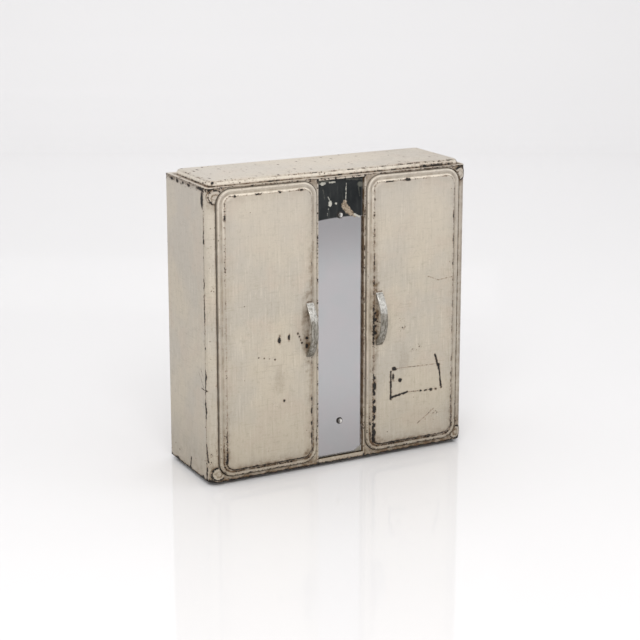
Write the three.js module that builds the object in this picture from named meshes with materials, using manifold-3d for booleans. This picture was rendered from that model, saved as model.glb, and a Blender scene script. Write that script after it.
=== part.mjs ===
// Steel wall cabinet: two raised-panel doors on either side of a fixed mirror strip.
// Millimetres. X to the right, Y to the back, Z up. Sizes are written with the back plane at
// Y = 0 and the base at Z = 0; the exported group is moved so that its origin is the centre of
// the overall footprint, on the base.

import * as THREE from 'three';
import { mergeVertices } from 'three/addons/utils/BufferGeometryUtils.js';
import Module from 'manifold-3d';

const wasm = await Module();
wasm.setup();

// ---------------------------------------------------------------- driving dimensions
const CASE_WIDTH = 529;
const CASE_DEPTH = 181;
const CASE_HEIGHT = 536;
const TOP_RISE = 10;
const SHEET = 1.2;
const GAP = 0.3;

const ROLL_RADIUS = 16;
const FLANGE = 12.5;
const PAN_INSET = 10;
const PAN_EDGE_RADIUS = 8.5;
const PAN_CORNER_RADIUS = 12;
const PAN_BACK_INSET = 18;
const BASE_TUCK = 2.8;
const BACK_TOP_RADIUS = 4;

const DOOR_INNER_X = 51.6;
const DOOR_OUTER_X = 246.2;
const DOOR_LOW_Z = 9.4;
const DOOR_HIGH_Z = 532;
const DOOR_CORNER_RADIUS = 27;
const DOOR_STAND = 8;
const DOOR_BEAD_STAND = 4;
const DOOR_BACK = 11;
const FIELD_INSET = 12.3;
const FIELD_CORNER_RADIUS = 22;

const OPENING_LOW_Z = 7.6;
const OPENING_HIGH_Z = 533.3;
const OPENING_CORNER_RADIUS = 29;
const BAY_HALF_WIDTH = 47.2;
const BAY_LOW_Z = 10;
const BAY_HIGH_Z = 531.3;
const MULLION_WIDTH = 2.6;
const MULLION_DEPTH = 14.2;
const STOP_LIP = 10;

const MIRROR_RECESS = 6.5;
const GLASS_THICKNESS = 3;
const CARD_THICKNESS = 1;
const MIRROR_SCREW_LOW_Z = 76;
const MIRROR_SCREW_HIGH_Z = 464;
const MIRROR_SCREW_RADIUS = 1.9;
const MIRROR_SCREW_HOLE = 2.4;
const MIRROR_HEAD_RADIUS = 5.5;

const BOSS_RADIUS = 14.3;
const BOSS_X = 248.5;
const BOSS_END = 16.4;
const BOSS_STAND = 1.8;
const BOSS_STEP = 2.4;
const BOSS_DOOR_CLEARANCE = 2;

const HINGE_X = 253.1;
const HINGE_Y = -176.4;
const HINGE_LEVELS = { lower: 96, upper: 446 };
const ARM_HEIGHT = 16;
const ARM_THICKNESS = 1.6;
const KNUCKLE_RADIUS = 2.1;
const PIN_RADIUS = 1.1;
const PIN_HOLE = 1.3;
const LUG_THICKNESS = 2;
const LUG_GAP = 0.4;

const HANDLE_SEATS = { left: { x: 68.7, z: 262 }, right: { x: 74.6, z: 264.6 } };
const HANDLE_LENGTH = 100;
const HANDLE_WIDTH = 14;
const HANDLE_REACH = 21;
const HANDLE_THICKNESS = 2.4;
const HANDLE_FOOT = 9;
const HANDLE_SCREW_SPAN = 88;
const HANDLE_SCREW_RADIUS = 1.7;
const HANDLE_SCREW_HOLE = 2.1;

const SHELF_LEVELS = { lower: 182, upper: 357 };
const SHELF_FRONT_Y = -150;
const SHELF_BACK_Y = -5;
const SHELF_LIP = 8;

const KEYHOLE_X = 180;
const KEYHOLE_Z = 492;

const SIDE_X = CASE_WIDTH / 2;
const FRONT_Y = -CASE_DEPTH;
const ROLL_X = SIDE_X - ROLL_RADIUS;
const ROLL_Y = FRONT_Y + ROLL_RADIUS;
const LEDGE_LOW_Z = CASE_HEIGHT - SHEET;
const FLANGE_TOP_Z = LEDGE_LOW_Z - GAP;
const FIELD_Y = FRONT_Y - DOOR_STAND;
const DOOR_BACK_Y = FRONT_Y + DOOR_BACK;
const GLASS_FRONT_Y = FRONT_Y + MIRROR_RECESS;
const OVERALL_DEPTH = CASE_DEPTH + DOOR_STAND + GAP + HANDLE_REACH;
const SIDES = { left: -1, right: 1 };

// ---------------------------------------------------------------- materials
function paint(color, roughness, metalness) {
  return () => new THREE.MeshStandardMaterial({ color, roughness, metalness });
}
const enamel = paint(0xc4b9a2, 0.5, 0.1);
const innerEnamel = paint(0xc9c0ac, 0.55, 0.1);
const nickel = paint(0xb9b8b2, 0.28, 1);
const silvered = paint(0xc4c6c6, 0.06, 1);
const steel = paint(0x8d8a84, 0.45, 0.9);
const card = paint(0x6d5d48, 0.9, 0);
const rubber = paint(0x2b2927, 0.85, 0);

// ---------------------------------------------------------------- solids
function volumeOf(geometry) {
  const flat = geometry.index ? geometry.toNonIndexed() : geometry;
  const p = flat.attributes.position;
  const a = new THREE.Vector3();
  const b = new THREE.Vector3();
  const c = new THREE.Vector3();
  let total = 0;
  for (let i = 0; i < p.count; i += 3) {
    a.fromBufferAttribute(p, i);
    b.fromBufferAttribute(p, i + 1);
    c.fromBufferAttribute(p, i + 2);
    total += a.dot(b.cross(c)) / 6;
  }
  return total;
}

function flip(geometry) {
  const index = geometry.index.array;
  for (let i = 0; i < index.length; i += 3) {
    const first = index[i];
    index[i] = index[i + 2];
    index[i + 2] = first;
  }
  return geometry;
}

// Merged corners only, faces out.
function closed(geometry) {
  const bare = geometry.clone();
  bare.deleteAttribute('normal');
  bare.deleteAttribute('uv');
  const merged = mergeVertices(bare, 1e-4);
  return volumeOf(merged) < 0 ? flip(merged) : merged;
}

function toSolid(geometry) {
  const g = closed(geometry);
  const mesh = new wasm.Mesh({
    numProp: 3,
    vertProperties: new Float32Array(g.attributes.position.array),
    triVerts: new Uint32Array(g.index.array),
  });
  return new wasm.Manifold(mesh);
}

function fromSolid(solid) {
  const mesh = solid.getMesh();
  const geometry = new THREE.BufferGeometry();
  geometry.setAttribute('position', new THREE.Float32BufferAttribute(mesh.vertProperties, 3));
  geometry.setIndex(new THREE.Uint32BufferAttribute(mesh.triVerts, 1));
  return geometry;
}

function join(first, ...others) {
  return fromSolid(others.reduce((sum, g) => sum.add(toSolid(g)), toSolid(first)));
}

function cut(first, ...others) {
  return fromSolid(others.reduce((rest, g) => rest.subtract(toSolid(g)), toSolid(first)));
}

function common(first, second) {
  return fromSolid(toSolid(first).intersect(toSolid(second)));
}

function mirrored(geometry) {
  return closed(geometry.clone().scale(-1, 1, 1));
}

// A piece drawn on the left (X < 0), or its mirror image on the right.
function onSide(side, leftGeometry) {
  return side < 0 ? leftGeometry : mirrored(leftGeometry);
}

function block(x0, x1, y0, y1, z0, z1) {
  const geometry = new THREE.BoxGeometry(x1 - x0, y1 - y0, z1 - z0);
  return geometry.translate((x0 + x1) / 2, (y0 + y1) / 2, (z0 + z1) / 2);
}

const EXTRUDE = { bevelEnabled: false, curveSegments: 8 };

// A plan outline (X, Y), raised from z0 to z1.
function prismZ(shape, z0, z1) {
  return new THREE.ExtrudeGeometry(shape, { ...EXTRUDE, depth: z1 - z0 }).translate(0, 0, z0);
}

// A front outline (X, Z), from y0 at the front to y1 at the back.
function prismY(shape, y0, y1) {
  const geometry = new THREE.ExtrudeGeometry(shape, { ...EXTRUDE, depth: y1 - y0 });
  return geometry.rotateX(Math.PI / 2).translate(0, y1, 0);
}

// A side outline (Y, Z), from x0 to x1, with an optional small bevel.
function prismX(shape, x0, x1, bevel = 0) {
  const options = {
    ...EXTRUDE,
    depth: x1 - x0 - 2 * bevel,
    bevelEnabled: bevel > 0,
    bevelSize: bevel,
    bevelThickness: bevel,
    bevelOffset: -bevel,
    bevelSegments: 2,
  };
  const turn = new THREE.Matrix4().set(0, 0, 1, 0, 1, 0, 0, 0, 0, 1, 0, 0, 0, 0, 0, 1);
  return new THREE.ExtrudeGeometry(shape, options).applyMatrix4(turn).translate(x0 + bevel, 0, 0);
}

function rodZ(x, y, radius, z0, z1, sides = 16) {
  const geometry = new THREE.CylinderGeometry(radius, radius, z1 - z0, sides);
  return geometry.rotateX(Math.PI / 2).translate(x, y, (z0 + z1) / 2);
}

function rodY(x, z, radius, y0, y1, sides = 16) {
  return new THREE.CylinderGeometry(radius, radius, y1 - y0, sides).translate(x, (y0 + y1) / 2, z);
}

// A turned piece about an axis along Y; the profile is [radius, y] from axis to axis.
function turnedY(x, z, profile, sides = 20) {
  const points = profile.map(([r, y]) => new THREE.Vector2(r, y));
  return new THREE.LatheGeometry(points, sides).translate(x, 0, z);
}

// Points of a rectangle with rounded corners, anticlockwise from the lower left corner.
// radii: lower left, lower right, upper right, upper left.
function roundedPoints(u0, u1, v0, v1, radii, steps) {
  const [ll, lr, ur, ul] = radii;
  const corners = [
    [u0 + ll, v0 + ll, ll, Math.PI],
    [u1 - lr, v0 + lr, lr, 1.5 * Math.PI],
    [u1 - ur, v1 - ur, ur, 0],
    [u0 + ul, v1 - ul, ul, 0.5 * Math.PI],
  ];
  const points = [];
  for (const [cu, cv, radius, start] of corners) {
    for (let i = 0; i <= steps; i += 1) {
      const angle = start + (i / steps) * 0.5 * Math.PI;
      points.push([cu + radius * Math.cos(angle), cv + radius * Math.sin(angle)]);
    }
  }
  return points;
}

function roundedShape(u0, u1, v0, v1, radius, steps = 8) {
  const points = roundedPoints(u0, u1, v0, v1, [radius, radius, radius, radius], steps);
  return new THREE.Shape(points.map(([u, v]) => new THREE.Vector2(u, v)));
}

// A closed skin over a stack of rings of [x, y, z] points, capped at both ends.
function ringStack(rings) {
  const count = rings[0].length;
  const positions = rings.flat(2);
  const index = [];
  for (let r = 0; r + 1 < rings.length; r += 1) {
    for (let i = 0; i < count; i += 1) {
      const a = r * count + i;
      const b = r * count + ((i + 1) % count);
      index.push(a, b, b + count, a, b + count, a + count);
    }
  }
  const middle = (ring) => ring.reduce((sum, p) => sum.map((s, k) => s + p[k] / count), [0, 0, 0]);
  const ends = [[0, 1], [rings.length - 1, -1]];
  for (const [r, way] of ends) {
    const centre = positions.length / 3;
    positions.push(...middle(rings[r]));
    for (let i = 0; i < count; i += 1) {
      const a = r * count + i;
      const b = r * count + ((i + 1) % count);
      index.push(...(way > 0 ? [centre, b, a] : [centre, a, b]));
    }
  }
  const geometry = new THREE.BufferGeometry();
  geometry.setAttribute('position', new THREE.Float32BufferAttribute(positions, 3));
  geometry.setIndex(index);
  return closed(geometry);
}

function quarter(steps) {
  return Array.from({ length: steps + 1 }, (_, i) => (i / steps) * 0.5 * Math.PI);
}

// ---------------------------------------------------------------- case
function outerSidePath(shape) {
  shape.moveTo(-SIDE_X + FLANGE, -SHEET - GAP);
  shape.lineTo(-SIDE_X + 3, -SHEET - GAP);
  shape.absarc(-SIDE_X + 3, -SHEET - GAP - 3, 3, 0.5 * Math.PI, Math.PI, false);
  shape.lineTo(-SIDE_X, ROLL_Y);
  return shape;
}

function sidePanel() {
  const wall = outerSidePath(new THREE.Shape());
  wall.absarc(-ROLL_X, ROLL_Y, ROLL_RADIUS, Math.PI, 1.5 * Math.PI, false);
  wall.absarc(-ROLL_X, ROLL_Y, ROLL_RADIUS - SHEET, 1.5 * Math.PI, Math.PI, true);
  const backInner = -2 * SHEET - GAP;
  wall.absarc(-SIDE_X + 3, backInner - 1.8, 1.8, Math.PI, 0.5 * Math.PI, true);
  wall.lineTo(-SIDE_X + FLANGE, backInner);

  const flange = outerSidePath(new THREE.Shape());
  const stop = Math.PI + Math.acos((ROLL_RADIUS - FLANGE) / ROLL_RADIUS);
  flange.absarc(-ROLL_X, ROLL_Y, ROLL_RADIUS, Math.PI, stop, false);

  const panel = join(
    prismZ(wall, 0, FLANGE_TOP_Z),
    prismZ(flange, 0, SHEET),
    prismZ(flange, FLANGE_TOP_Z - SHEET, FLANGE_TOP_Z),
  );
  return cut(tucked(panel), backTopEdge());
}

function planRing(inset, z, frontRadius, backRadius, backShift = 0) {
  const x = SIDE_X - inset;
  const radii = [frontRadius, frontRadius, backRadius, backRadius];
  const points = roundedPoints(-x, x, FRONT_Y + inset, -inset - backShift, radii, 6);
  return points.map(([px, py]) => [px, py, z]);
}

// The case's outer form below, with its bottom edge tucked under.
function tucked(geometry) {
  const clear = 0.2;
  const tuckRing = (inset, z) => (
    planRing(inset - clear, z, ROLL_RADIUS - inset + clear, 3 - inset + clear)
  );
  const rings = quarter(4).map((a) => (
    tuckRing(BASE_TUCK * (1 - Math.sin(a)), BASE_TUCK * (1 - Math.cos(a)))
  ));
  rings.unshift(tuckRing(BASE_TUCK, -1));
  rings.push(tuckRing(0, CASE_HEIGHT));
  return common(geometry, ringStack(rings));
}

// What is taken off the case to round its edge where the top meets the back.
function backTopEdge() {
  const low = CASE_HEIGHT - BACK_TOP_RADIUS;
  const shape = new THREE.Shape();
  shape.moveTo(-BACK_TOP_RADIUS, CASE_HEIGHT + 1);
  shape.absarc(-BACK_TOP_RADIUS, low, BACK_TOP_RADIUS, 0.5 * Math.PI, 0, true);
  shape.lineTo(1, low);
  shape.lineTo(1, CASE_HEIGHT + 1);
  return prismX(shape, -SIDE_X - 1, SIDE_X + 1);
}

// A ledge all round with a raised, round-edged pan in the middle.
function topPanel() {
  const panBase = CASE_HEIGHT + TOP_RISE - PAN_EDGE_RADIUS;
  const shift = PAN_BACK_INSET - PAN_INSET;
  const rings = [];
  const panRing = (radius, angle) => {
    const inset = PAN_INSET + PAN_EDGE_RADIUS - radius * Math.cos(angle);
    const corner = PAN_CORNER_RADIUS - (inset - PAN_INSET);
    return planRing(inset, panBase + radius * Math.sin(angle), corner, corner, shift);
  };
  for (const angle of quarter(5).reverse()) {
    rings.push(panRing(PAN_EDGE_RADIUS, angle));
  }
  const rootCorner = PAN_CORNER_RADIUS + 0.6;
  rings.push(planRing(PAN_INSET - 0.6, CASE_HEIGHT, rootCorner, rootCorner, shift));
  rings.push(planRing(SHEET, CASE_HEIGHT, ROLL_RADIUS - SHEET, 3 - SHEET));
  rings.push(planRing(0.3 * SHEET, CASE_HEIGHT - 0.3 * SHEET, ROLL_RADIUS - 0.3 * SHEET, 2.6));
  rings.push(planRing(0, LEDGE_LOW_Z, ROLL_RADIUS, 3));
  const innerCorner = PAN_CORNER_RADIUS - SHEET;
  rings.push(planRing(PAN_INSET + SHEET, LEDGE_LOW_Z, innerCorner, innerCorner, shift));
  for (const angle of quarter(3)) {
    rings.push(panRing(PAN_EDGE_RADIUS - SHEET, angle));
  }
  return cut(ringStack(rings), backTopEdge());
}

function bottomPanel() {
  const x = SIDE_X - SHEET - 0.4;
  const back = -2 * SHEET - 5 * GAP;
  const front = FRONT_Y + MULLION_DEPTH + GAP;
  const top = OPENING_LOW_Z;
  const low = SHEET + GAP;
  const plate = block(-x, x, front, back, low, top);
  const under = block(-x + SHEET, x - SHEET, front + SHEET, back - SHEET, 0, top - SHEET);
  return cut(plate, under);
}

function keyhole(x, y0, y1) {
  const slot = new THREE.Shape();
  const narrow = 2.6;
  slot.absarc(0, 12, narrow, 0, Math.PI, false);
  slot.lineTo(-narrow, 4.2);
  slot.absarc(0, 0, 5.2, 2.2, 0.94, false);
  slot.lineTo(narrow, 4.2);
  return prismY(slot, y0, y1).translate(x, 0, KEYHOLE_Z);
}

function backPanel() {
  const x = SIDE_X - 2.5;
  const plate = block(-x, x, -SHEET, 0, 0, FLANGE_TOP_Z);
  return cut(plate, keyhole(-KEYHOLE_X, -3, 1), keyhole(KEYHOLE_X, -3, 1), backTopEdge());
}

function hangerPlate(side) {
  const x = side * KEYHOLE_X;
  const front = -SHEET - GAP - 2;
  const plate = roundedShape(x - 20, x + 20, KEYHOLE_Z - 16, KEYHOLE_Z + 26, 4, 4);
  return cut(prismY(plate, front, -SHEET - GAP), keyhole(x, front - 1, 1));
}

// ---------------------------------------------------------------- front frame
function doorOpening(side) {
  const inner = BAY_HALF_WIDTH + MULLION_WIDTH;
  const u = side < 0 ? [-ROLL_X, -inner] : [inner, ROLL_X];
  return roundedShape(u[0], u[1], OPENING_LOW_Z, OPENING_HIGH_Z, OPENING_CORNER_RADIUS);
}

function frontFrame() {
  const edge = ROLL_X - GAP;
  const face = block(-edge, edge, FRONT_Y, FRONT_Y + SHEET, 0, FLANGE_TOP_Z);
  const bay = block(
    -BAY_HALF_WIDTH, BAY_HALF_WIDTH, FRONT_Y - 1, FRONT_Y + 2, BAY_LOW_Z, BAY_HIGH_Z,
  );
  const holes = [bay];
  for (const side of Object.values(SIDES)) {
    holes.push(prismY(doorOpening(side), FRONT_Y - 1, FRONT_Y + 2));
  }
  const backOfFlange = FRONT_Y + 13;
  const rails = [
    block(-edge, edge, FRONT_Y, backOfFlange, OPENING_HIGH_Z, FLANGE_TOP_Z),
    block(-edge, edge, FRONT_Y, backOfFlange, OPENING_LOW_Z - SHEET, OPENING_LOW_Z),
  ];
  const lipY = FRONT_Y + MULLION_DEPTH;
  const outer = BAY_HALF_WIDTH + MULLION_WIDTH;
  for (const side of Object.values(SIDES)) {
    const bar = side < 0 ? [-outer, -BAY_HALF_WIDTH] : [BAY_HALF_WIDTH, outer];
    const lip = side < 0 ? [-outer - STOP_LIP, -outer] : [outer, outer + STOP_LIP];
    rails.push(block(...bar, FRONT_Y, lipY, OPENING_LOW_Z - SHEET, FLANGE_TOP_Z));
    rails.push(block(...lip, lipY - SHEET, lipY, OPENING_LOW_Z + 4, OPENING_HIGH_Z - 4));
  }
  return tucked(join(cut(face, ...holes), ...rails));
}

// A stepped round patch wrapped over the end of the rolled edge, trimmed to the door opening.
function cornerBoss(z) {
  const low = z - 30;
  const high = z + 30;
  const lap = (stand) => join(
    rodZ(-ROLL_X, ROLL_Y, ROLL_RADIUS + stand, low, high, 72),
    block(-ROLL_X, -200, FRONT_Y - stand, ROLL_Y, low, high),
  );
  const disc = (radius) => rodY(-BOSS_X, z, radius, FRONT_Y - 10, ROLL_Y - 4, 40);
  const patch = join(
    common(disc(BOSS_RADIUS), lap(BOSS_STAND - 0.8)),
    common(disc(BOSS_RADIUS - BOSS_STEP), lap(BOSS_STAND)),
  );
  const opening = prismY(doorOpening(-1), FRONT_Y - 10, FRONT_Y + 10);
  const swing = opening.clone().translate(-BOSS_DOOR_CLEARANCE, 0, 0);
  return cut(patch, lap(GAP), opening, swing);
}

// ---------------------------------------------------------------- mirror
const MIRROR_SCREW_LEVELS = [MIRROR_SCREW_LOW_Z, MIRROR_SCREW_HIGH_Z];
const CARD_FRONT_Y = GLASS_FRONT_Y + GLASS_THICKNESS + GAP;
const BAY_PANEL_Y = CARD_FRONT_Y + CARD_THICKNESS + GAP;

function drilledSheet(inset, y0, y1) {
  const x = BAY_HALF_WIDTH - inset;
  const sheet = roundedShape(-x, x, BAY_LOW_Z + inset, BAY_HIGH_Z - inset, 1.5, 2);
  for (const z of MIRROR_SCREW_LEVELS) {
    const hole = new THREE.Path();
    hole.absarc(0, z, MIRROR_SCREW_HOLE, 0, 2 * Math.PI, true);
    sheet.holes.push(hole);
  }
  return prismY(sheet, y0, y1);
}

function bayPanel() {
  const x = BAY_HALF_WIDTH - GAP;
  const plate = drilledSheet(GAP, BAY_PANEL_Y, BAY_PANEL_Y + SHEET);
  const flange = [BAY_PANEL_Y, BAY_PANEL_Y + 9, BAY_LOW_Z + 4, BAY_HIGH_Z - 4];
  return join(plate, block(-x, -x + SHEET, ...flange), block(x - SHEET, x, ...flange));
}

function mirrorWasher(z) {
  const y = GLASS_FRONT_Y - GAP;
  const ring = [
    [MIRROR_SCREW_HOLE, y - 0.8],
    [MIRROR_HEAD_RADIUS + 0.5, y - 0.8],
    [MIRROR_HEAD_RADIUS + 0.9, y],
    [MIRROR_SCREW_HOLE, y],
    [MIRROR_SCREW_HOLE, y - 0.8],
  ];
  return turnedY(0, z, ring, 24);
}

function mirrorScrew(z) {
  const seat = GLASS_FRONT_Y - 2 * GAP - 0.8;
  const height = 2.6;
  const dome = quarter(4).map((a) => [
    MIRROR_HEAD_RADIUS * Math.cos(a),
    seat - 0.5 - (height - 0.5) * Math.sin(a),
  ]);
  const tip = BAY_PANEL_Y + SHEET + 6;
  const profile = [
    ...dome.reverse(),
    [MIRROR_HEAD_RADIUS, seat],
    [MIRROR_SCREW_RADIUS, seat],
    [MIRROR_SCREW_RADIUS, tip - 1],
    [0, tip],
  ];
  profile[0][0] = 0;
  return turnedY(0, z, profile, 20);
}

function mirrorNut(z) {
  const half = 4;
  const y = BAY_PANEL_Y + SHEET + GAP;
  const nut = block(-half, half, y, y + 2.6, z - half, z + half);
  return cut(nut, rodY(0, z, MIRROR_SCREW_RADIUS + 0.25, y - 1, y + 4));
}

// ---------------------------------------------------------------- doors
function doorRing(inset, y, radius) {
  const points = roundedPoints(
    -DOOR_OUTER_X + inset, -DOOR_INNER_X - inset, DOOR_LOW_Z + inset, DOOR_HIGH_Z - inset,
    [radius, radius, radius, radius], 7,
  );
  return points.map(([x, z]) => [x, y, z]);
}

// Pressed skin: flat field, steep bevel, cove, round bead and a short return to the back.
function doorSkin(seat) {
  const bead = FRONT_Y - DOOR_BEAD_STAND;
  const profile = [
    [FIELD_INSET + 1.2, FIELD_Y],
    [FIELD_INSET + 0.4, FIELD_Y + 0.25],
    [FIELD_INSET - 0.4, FIELD_Y + 0.9],
    [FIELD_INSET - 2.6, bead + 0.3],
    [FIELD_INSET - 3.4, bead + 0.9],
    [FIELD_INSET - 5.4, bead + 1.3],
    [5.2, bead + 1.1],
    [4.2, bead + 0.6],
    [3.2, bead + 0.1],
    [2.3, bead],
    [1.3, bead + 0.35],
    [0.5, bead + 1.1],
    [0, bead + 2.4],
    [0, DOOR_BACK_Y],
  ];
  const radiusAt = (inset) => {
    const t = Math.min(1, inset / FIELD_INSET);
    return DOOR_CORNER_RADIUS + t * (FIELD_CORNER_RADIUS - DOOR_CORNER_RADIUS);
  };
  const rings = profile.map(([inset, y]) => doorRing(inset, y, radiusAt(inset)));
  const inner = [
    [SHEET, DOOR_BACK_Y],
    [SHEET, bead + 2.8],
    [2.4, bead + SHEET],
    [4, bead + SHEET + 0.8],
    [FIELD_INSET - 2.8, bead + SHEET + 1.1],
    [FIELD_INSET + 0.9, FIELD_Y + SHEET],
  ];
  rings.push(...inner.map(([inset, y]) => doorRing(inset, y, radiusAt(inset) - 0.6)));
  return cut(ringStack(rings), ...handleHoles(seat));
}

function handleHoles(seat) {
  return handleScrewLevels(seat).map((z) => (
    rodY(-seat.x, z, HANDLE_SCREW_HOLE, FIELD_Y - 2, DOOR_BACK_Y + 2, 14)
  ));
}

function handleScrewLevels(seat) {
  return [seat.z - HANDLE_SCREW_SPAN / 2, seat.z + HANDLE_SCREW_SPAN / 2];
}

function doorLiner(seat) {
  const outer = SHEET + GAP;
  const inner = outer + SHEET;
  const lipY = DOOR_BACK_Y - 6;
  const tray = ringStack([
    doorRing(outer, DOOR_BACK_Y, DOOR_CORNER_RADIUS - outer),
    doorRing(outer, lipY, DOOR_CORNER_RADIUS - outer),
    doorRing(inner, lipY, DOOR_CORNER_RADIUS - inner),
    doorRing(inner, DOOR_BACK_Y - SHEET, DOOR_CORNER_RADIUS - inner),
  ]);
  return cut(tray, ...handleHoles(seat));
}

// Arc through (-half, 0), (0, -reach) and (half, 0), as [z, y] points.
function bow(half, reach, steps) {
  const radius = (half * half + reach * reach) / (2 * reach);
  const limit = Math.asin(half / radius);
  return Array.from({ length: steps + 1 }, (_, i) => {
    const angle = -limit + (2 * limit * i) / steps;
    return [radius * Math.sin(angle), radius - reach - radius * Math.cos(angle)];
  });
}

// A flat strap bowed away from the door, thicker where its ends meet the door.
function handle(seat) {
  const half = HANDLE_LENGTH / 2;
  const outside = bow(half, HANDLE_REACH, 20);
  const inside = bow(half - HANDLE_FOOT, HANDLE_REACH - HANDLE_THICKNESS, 16).reverse();
  const outline = [...outside, ...inside];
  const shape = new THREE.Shape(
    outline.map(([z, y]) => new THREE.Vector2(FIELD_Y - GAP + y, seat.z + z)),
  );
  const strap = prismX(shape, -seat.x - HANDLE_WIDTH / 2, -seat.x + HANDLE_WIDTH / 2, 0.5);
  const holes = handleScrewLevels(seat).map((z) => (
    rodY(-seat.x, z, HANDLE_SCREW_HOLE, FIELD_Y - 3.6, FIELD_Y + 1, 14)
  ));
  return cut(strap, ...holes);
}

function handleScrew(x, z) {
  const head = DOOR_BACK_Y + GAP;
  const profile = [
    [0, FIELD_Y - 3],
    [HANDLE_SCREW_RADIUS, FIELD_Y - 2.2],
    [HANDLE_SCREW_RADIUS, head],
    [3.6, head],
    [3.4, head + 1.2],
    [2.2, head + 2],
    [0, head + 2.2],
  ];
  return turnedY(-x, z, profile, 14);
}

function doorBumper(z) {
  const y = DOOR_BACK_Y + GAP;
  return rodY(-DOOR_INNER_X - 3.6, z, 3.3, y, y + 1.4, 20);
}

// ---------------------------------------------------------------- hinges
// The pin stands inside the rolled edge; the arm reaches round its free end to the door's back.
function hingeArm(z) {
  const low = z - ARM_HEIGHT / 2;
  const high = z + ARM_HEIGHT / 2;
  const backY = DOOR_BACK_Y + GAP;
  const half = ARM_THICKNESS / 2;
  const leaf = [
    block(-HINGE_X - half, -HINGE_X + half, HINGE_Y + 1, backY + ARM_THICKNESS, low, high),
    block(-HINGE_X - half, -HINGE_X + 34, backY, backY + ARM_THICKNESS, low, high),
  ];
  const rivets = [-HINGE_X + 17, -HINGE_X + 28].map((x) => (
    rodY(x, z, 2.4, backY + 1, backY + ARM_THICKNESS + 0.9, 14)
  ));
  const knuckle = rodZ(-HINGE_X, HINGE_Y, KNUCKLE_RADIUS, low, high, 20);
  const bore = rodZ(-HINGE_X, HINGE_Y, PIN_HOLE, low - 1, high + 1, 20);
  return cut(join(knuckle, ...leaf, ...rivets), bore);
}

function lugShape() {
  const reach = Math.hypot(HINGE_X - ROLL_X, HINGE_Y - ROLL_Y) + KNUCKLE_RADIUS;
  const pinAngle = Math.atan2(HINGE_Y - ROLL_Y, ROLL_X - HINGE_X) + 2 * Math.PI;
  const plateX = -SIDE_X + SHEET + GAP;
  const shape = new THREE.Shape();
  shape.moveTo(plateX, -140);
  shape.lineTo(plateX, ROLL_Y);
  shape.absarc(-ROLL_X, ROLL_Y, reach, Math.PI, pinAngle, false);
  shape.absarc(-HINGE_X, HINGE_Y, KNUCKLE_RADIUS, pinAngle, pinAngle + 0.9 * Math.PI, false);
  shape.lineTo(plateX + 6, -140);
  return shape;
}

function hingeBracket(z) {
  const pitch = ARM_HEIGHT / 2 + LUG_GAP;
  const plateX = -SIDE_X + SHEET + GAP;
  const lugs = [-1, 1].map((way) => {
    const near = z + way * pitch;
    const far = near + way * LUG_THICKNESS;
    return prismZ(lugShape(), Math.min(near, far), Math.max(near, far));
  });
  const tall = pitch + LUG_THICKNESS;
  const plate = block(plateX, plateX + 1.6, ROLL_Y + 4, -140, z - tall - 6, z + tall + 6);
  const bore = rodZ(-HINGE_X, HINGE_Y, PIN_HOLE, z - 20, z + 20, 20);
  return cut(join(plate, ...lugs), bore);
}

function hingePin(z) {
  const half = ARM_HEIGHT / 2 + LUG_GAP + LUG_THICKNESS + 0.8;
  const shank = rodZ(-HINGE_X, HINGE_Y, PIN_RADIUS, z - half, z + half, 14);
  const head = rodZ(-HINGE_X, HINGE_Y, 1.9, z + half - 0.4, z + half + 0.8, 14);
  return join(shank, head);
}

// ---------------------------------------------------------------- catches and shelves
const CATCH_Z = 271;

function doorCatch() {
  const x = -BAY_HALF_WIDTH - MULLION_WIDTH - STOP_LIP - GAP;
  const front = DOOR_BACK_Y + 1.6;
  const body = block(x - 13, x, front, front + 17, CATCH_Z - 19, CATCH_Z + 19);
  const earY = FRONT_Y + MULLION_DEPTH + GAP;
  const ear = block(x - 1, x + STOP_LIP, earY, earY + 1.6, CATCH_Z - 14, CATCH_Z + 14);
  const groove = block(x - 9, x - 4, front - 1, front + 3, CATCH_Z - 20, CATCH_Z + 20);
  return cut(join(body, ear), groove);
}

function doorStrike() {
  const x = -BAY_HALF_WIDTH - MULLION_WIDTH - STOP_LIP - GAP;
  const y = DOOR_BACK_Y + GAP;
  const plate = roundedShape(x - 14, x + 1, CATCH_Z - 17, CATCH_Z + 17, 2, 3);
  return prismY(plate, y, y + 0.9);
}

function shelf(z) {
  const x = SIDE_X - SHEET - 0.8;
  const plate = block(-x, x, SHELF_FRONT_Y, SHELF_BACK_Y, z - SHELF_LIP, z + SHEET);
  const under = block(-x - 1, x + 1, SHELF_FRONT_Y + SHEET, SHELF_BACK_Y - SHEET, z - 20, z);
  return cut(plate, under);
}

function shelfBracket(z) {
  const x = -SIDE_X + SHEET + GAP;
  const y0 = SHELF_FRONT_Y + 6;
  const y1 = SHELF_BACK_Y - 8;
  const top = z - GAP;
  const leg = block(x, x + SHEET, y0, y1, top - 13, top);
  const seat = block(x, x + 10, y0, y1, top - SHEET, top);
  return join(leg, seat);
}

// ---------------------------------------------------------------- assembly
const cabinet = new THREE.Group();

function add(parent, name, geometry, material) {
  const ready = closed(geometry).toNonIndexed();
  ready.computeVertexNormals();
  const mesh = new THREE.Mesh(ready, material());
  mesh.name = name;
  parent.add(mesh);
}

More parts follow.
